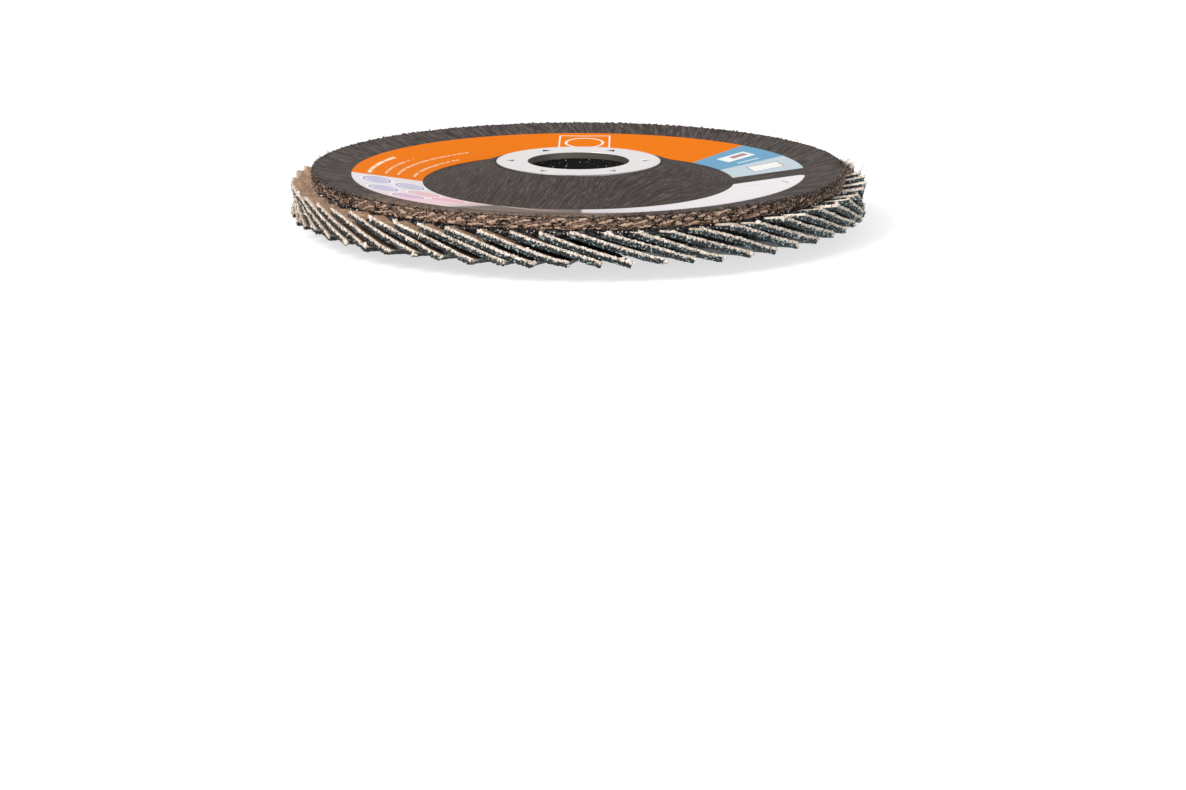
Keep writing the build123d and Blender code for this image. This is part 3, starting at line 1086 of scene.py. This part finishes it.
# %% One flap
def flap_points(turn, rng):
    """Points of one flap with its own fray, grains, tilt and bend, the shade and the map of
    each point, and the finish of each quad."""
    a, t, n = np.meshgrid(np.linspace(0, flap_length, ALONG), INWARD, LAYERS, indexing="ij")
    layer = np.arange(len(LAYERS))[None, None, :]
    near, wider = np.exp(-t / 0.55), np.exp(-t / 2.2)
    border = CLOTH_LAYERS + rng.choice([-1, 0, 0, 0, 1], ALONG)
    cloth, last = layer < border[:, None, None], layer == len(LAYERS) - 1

    # Outwards: yarn ends of uneven length, and now and then a tuft.
    push = rng.random(a.shape)
    yarn = rng.random((ALONG, 1, 1)) ** 1.6
    tuft = (rng.random((ALONG, 1, 1)) > 0.93) * rng.random((ALONG, 1, 1)) * 0.5
    yarn_ends = -0.05 - 0.24 * push**2 - 0.3 * yarn - tuft
    fray = np.where(cloth, yarn_ends, rng.uniform(-0.2, 0.26, a.shape))
    ends = np.exp(-(flap_length - a) / 0.35) - np.exp(-a / 0.35)
    end_fray = ends * (0.28 * rng.random(a.shape) ** 1.5 + 0.1) * np.exp(-t / 4)

    # Upwards and downwards: fuzz on the cloth, and grains on the grit.
    top_fuzz = near * (0.04 + 0.24 * rng.random(a.shape) ** 1.5)
    fuzz = np.where(layer == 0, top_fuzz, near * cloth * rng.uniform(-0.07, 0.09, a.shape))
    low_grain = 0.05 * rng.random(a.shape) + wider * (0.1 + 0.34 * rng.random(a.shape) ** 1.3)
    side_grain = ~cloth * ~last * wider * rng.uniform(-0.04, 0.16, a.shape)
    grain = np.where(last, low_grain, 0) + side_grain

    # The whole flap: a tilt about its inner end, a gentle wave, a curl and a slip.
    tilt = rng.uniform(-0.3, 0.25)
    wave = 0.1 * np.sin(a / flap_length * math.pi * rng.uniform(1, 2.5) + rng.uniform(0, 6))
    curl = rng.uniform(0.1, 0.4) * np.clip((a - (flap_length - 4)) / 4, 0, 1) ** 2
    offset = (1 - t / flap_width) * (tilt + wave + curl)
    slip = rng.uniform(-0.3, 0.25)
    turn = turn + rng.normal() * 0.003
    points = on_flap(a + end_fray + slip, t + fray * near, n + fuzz - grain + offset, turn)
    shade = rng.random(a.shape) * 0.65 + yarn * 0.35
    uv = np.stack([a, t], -1)
    skin = [values.reshape(-1, *values.shape[3:])[used] for values in (points, shade, uv)]

    # Each quad's finish: the cloth's back on top, yarn on the cut edges, and grit below it.
    is_yarn = (skin_sides > 1) & (quad_layers < border[quad_columns])
    finishes = np.where(skin_sides == 0, CLOTH_BACK, np.where(is_yarn, RAW_YARN, GRIT))
    return *skin, finishes


print("shape of a flap's points:", flap_points(0.0, np.random.default_rng(0))[0].shape)

# %% [markdown]
# ## Cloth and grit finishes
#
# The cut yarn ends are raw cream cotton, darker in the low spots of their fluff as painted
# shade. The back of the cloth is filled with brown resin, and its weave is a fine grid that
# reads the flap's own map, because it follows the cloth and not the disc. Where the next flap
# covers the back, it is painted dark as painted shade. The grit is a field of cells, each with
# its own tint of blue-green, darker at their edges as painted shade between the grains. Some
# cells are bright as painted glints, and the grit on the left is painted darker and browner as
# painted shade.

# %% Raw yarn and cloth back
raw = Recipe("raw_cut_yarn")
fluff = raw.noise(*raw.place(), scale=2.6, detail=3, roughness=0.6)
lightness = (raw.attribute("shade") * 0.5 + fluff * 0.5).above(0.42, 0.42)
shade = raw.mix(lightness, (140, 114, 94), (252, 241, 228))
# Painted shade: the low spots of the fluff are darker.
shade = raw.mix(fluff.below(0.4, 0.08) * 0.6, shade, (90, 68, 54))
raw.set(base_color=shade, roughness=fluff * 0.15 + 0.8, normal=raw.bump(fluff, 0.6, 0.15))

YARN_PITCH = 0.52
COVERED_FROM = 0.42 * flap_length
back = Recipe("resin_filled_cloth_back")
x, y, z = back.place()
cloth_map = back.node("ShaderNodeUVMap", {"uv_map": "cloth_map"})
along, inward, _ = back.outputs("ShaderNodeSeparateXYZ", inputs={0: cloth_map}).values()
warp, weft = (back.math("SINE", way * (TURN / YARN_PITCH)) for way in (along, inward))
weave = warp * weft
stain = back.noise(x, y, z, scale=0.3, detail=3)
speck = back.noise(x, y, z, scale=1.1, detail=3, roughness=0.75)
shade = back.coats(
    back.mix(weave * 0.5 + 0.5, (144, 110, 84), (222, 186, 156)),
    (speck.below(0.47, 0.14) * 0.6, (118, 80, 54)),
    (speck.above(0.6, 0.1) * 0.45, (236, 208, 180)),
    (stain.above(0.55, 0.4) * 0.35, (106, 76, 58)),
    # Painted shade where the next flap covers the back.
    (along.above(COVERED_FROM, 2.0) * 0.8, (56, 38, 27)),
    (inward.below(0.4, 0.5) * 0.6, (228, 206, 184)),
)
back.set(base_color=shade, roughness=stain * 0.2 + 0.6, normal=back.bump(weave, 0.5, 0.08))
print("yarn and cloth nodes:", len(raw.tree.nodes), len(back.tree.nodes))

# %% Grit
GRAINS_PER_MM = 2.9
grit = Recipe("blue_green_grit")
x, y, z = grit.place()
grains = {"Vector": grit.vector(x, y, z), "Scale": GRAINS_PER_MM}
tints = grit.node("ShaderNodeTexVoronoi", inputs=grains, output="Color")
depth = grit.node("ShaderNodeTexVoronoi", inputs=grains, output="Distance")
grain_tint = grit.node("ShaderNodeSeparateColor", inputs={0: tints})
shade = grit.coats(
    grit.mix(grain_tint.above(0.55, 0.1), (7, 12, 15), (28, 50, 56)),
    # Painted glints: the brightest cells.
    (grain_tint.above(0.84, 0.06), (190, 212, 212)),
    # Painted shade between the grains, at the edges of the cells.
    (depth.above(0.55, 0.3) * 0.6, (14, 18, 20)),
    # Painted shade: the grit on the left is darker and browner.
    (x.below(-22, 22) * 0.62, (30, 23, 19)),
)
grit.set(base_color=shade, roughness=grain_tint * 0.35 + 0.3)
grit.set(normal=grit.bump(1 - depth, 0.9, 0.25))
print("grit nodes:", len(grit.tree.nodes))

# %% Build the flaps, two to a piece as the frame holds them
flap_finishes = [raw.material, back.material, grit.material]
pair_quads = np.concatenate([skin_quads, skin_quads + len(used)])
for pair in range(flap_pairs):
    made = [
        flap_points(first_flap_turn + flap * flap_pitch, np.random.default_rng(100 + flap))
        for flap in (2 * pair, 2 * pair + 1)
    ]
    points, shades, maps, finishes = (np.concatenate(parts) for parts in zip(*made))
    piece = add_piece(
        f"frayed_flaps_{pair + 1:02d}", points, pair_quads, flap_finishes, "coated_cloth",
        finishes, {"shade": shades}, maps,
    )
    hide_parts(f"flap_pair_{pair + 1:02d}")
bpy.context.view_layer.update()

# %% [markdown]
# ## Loose threads
#
# Cutting leaves yarns hanging from the edges. Each is a thin tapered tube along a short
# curve that starts on a cut edge and leaves it outwards, and a few are three times longer
# than the rest.

# %% Threads
THREADS = 1300
rng = np.random.default_rng(41)
one_each = (THREADS, 1)
turn = first_flap_turn + rng.integers(0, flap_count, THREADS) * flap_pitch
low_down = rng.random(THREADS) < 0.35
where = np.where(low_down, rng.beta(6, 1, THREADS), rng.random(THREADS)) * flap_length
where = np.where(rng.random(THREADS) < 0.1, rng.random(THREADS) * 1.2, where)
inset, height = rng.uniform(-0.05, 0.2, THREADS), rng.uniform(-0.5, 0.05, THREADS)
start = on_flap(where, inset, height, turn)
radial, tangent = compass(turn + 0.02)[0], compass(turn)[1]
heading = radial * rng.uniform(0.3, 1.0, one_each) + tangent * rng.normal(0, 0.8, one_each)
heading = unit(heading + upright * rng.normal(0.1, 0.5, one_each))
sag = rng.normal(0, 0.35, (THREADS, 3)) - upright * 0.1
length = 0.25 + 0.6 * rng.random(THREADS) ** 3
length = np.where(rng.random(THREADS) < 0.04, length * 3.0, length)
threads = tubes(start, heading, sag, length, rng.uniform(0.045, 0.1, THREADS))
in_yarn = [raw.material], "coated_cloth"
add_many("loose_threads", threads, *in_yarn, shade=rng.random(THREADS))

# %% [markdown]
# ## Lint
#
# Fluff gathers where a cut edge is roughest, at the two ends of a flap. A speck of lint is a
# small lump, a cube's skin blown up to a ball: it has no poles and is quads all over.

# %% Lint on the tips
LINT = 420
turn = first_flap_turn + rng.integers(0, flap_count, LINT) * flap_pitch
kind = rng.random(LINT)
upper_end, lower_end = rng.normal(0.1, 0.25, LINT), rng.normal(flap_length, 0.25, LINT)
between = np.where(kind < 0.75, lower_end, rng.random(LINT) * flap_length)
where = np.where(kind < 0.35, upper_end, between)
inset, height = rng.uniform(-0.15, 0.15, LINT), rng.uniform(-0.5, 0.1, LINT)
size = rng.uniform(0.12, 0.36, (LINT, 1)) * rng.uniform(0.7, 1.4, (LINT, 3))
lint = lumps(on_flap(where, inset, height, turn), turn, size, 0.28, rng)
add_many("lint_on_tips", lint, *in_yarn, shade=rng.uniform(0.4, 1, LINT))

# %% [markdown]
# ## Adhesive squeezed out at the rim
#
# Pressing the plate onto the flaps squeezes beads of adhesive out between their upper edges:
# the same lumps, larger. Pale crumbs of cloth and grit stick to them.

# %% Squeezed beads and crumbs
BEADS, CRUMBS = 150, 170
rng = np.random.default_rng(77)
turn = np.arange(BEADS) * (TURN / BEADS) + rng.normal(0, 0.012, BEADS)
ranges = (0.5, 1.0), (0.8, 1.9), (0.3, 0.7)
size = np.stack([rng.uniform(*limits, BEADS) for limits in ranges], -1)
height = rim_under_z - 0.45 - rng.uniform(0, 0.6, (BEADS, 1))
centres = compass(turn)[0] * (plate_radius - 0.4) + upright * height
beads = lumps(centres, turn, size, 0.14, rng)
add_many("squeezed_adhesive", beads, [glue.material], "adhesive")

turn = rng.uniform(0, TURN, CRUMBS)
reach = plate_radius + rng.uniform(0.2, 0.7, (CRUMBS, 1))
height = rim_under_z - rng.uniform(0.1, 1.4, (CRUMBS, 1))
centres = compass(turn)[0] * reach + upright * height
crumbs = lumps(centres, turn, rng.uniform(0.07, 0.22, (CRUMBS, 3)), 0.3, rng)
add_many("crumbs_on_adhesive", crumbs, *in_yarn, shade=rng.uniform(0.2, 0.9, CRUMBS))

# %% [markdown] ## Size and finish Dressing a part must not change how big it is.
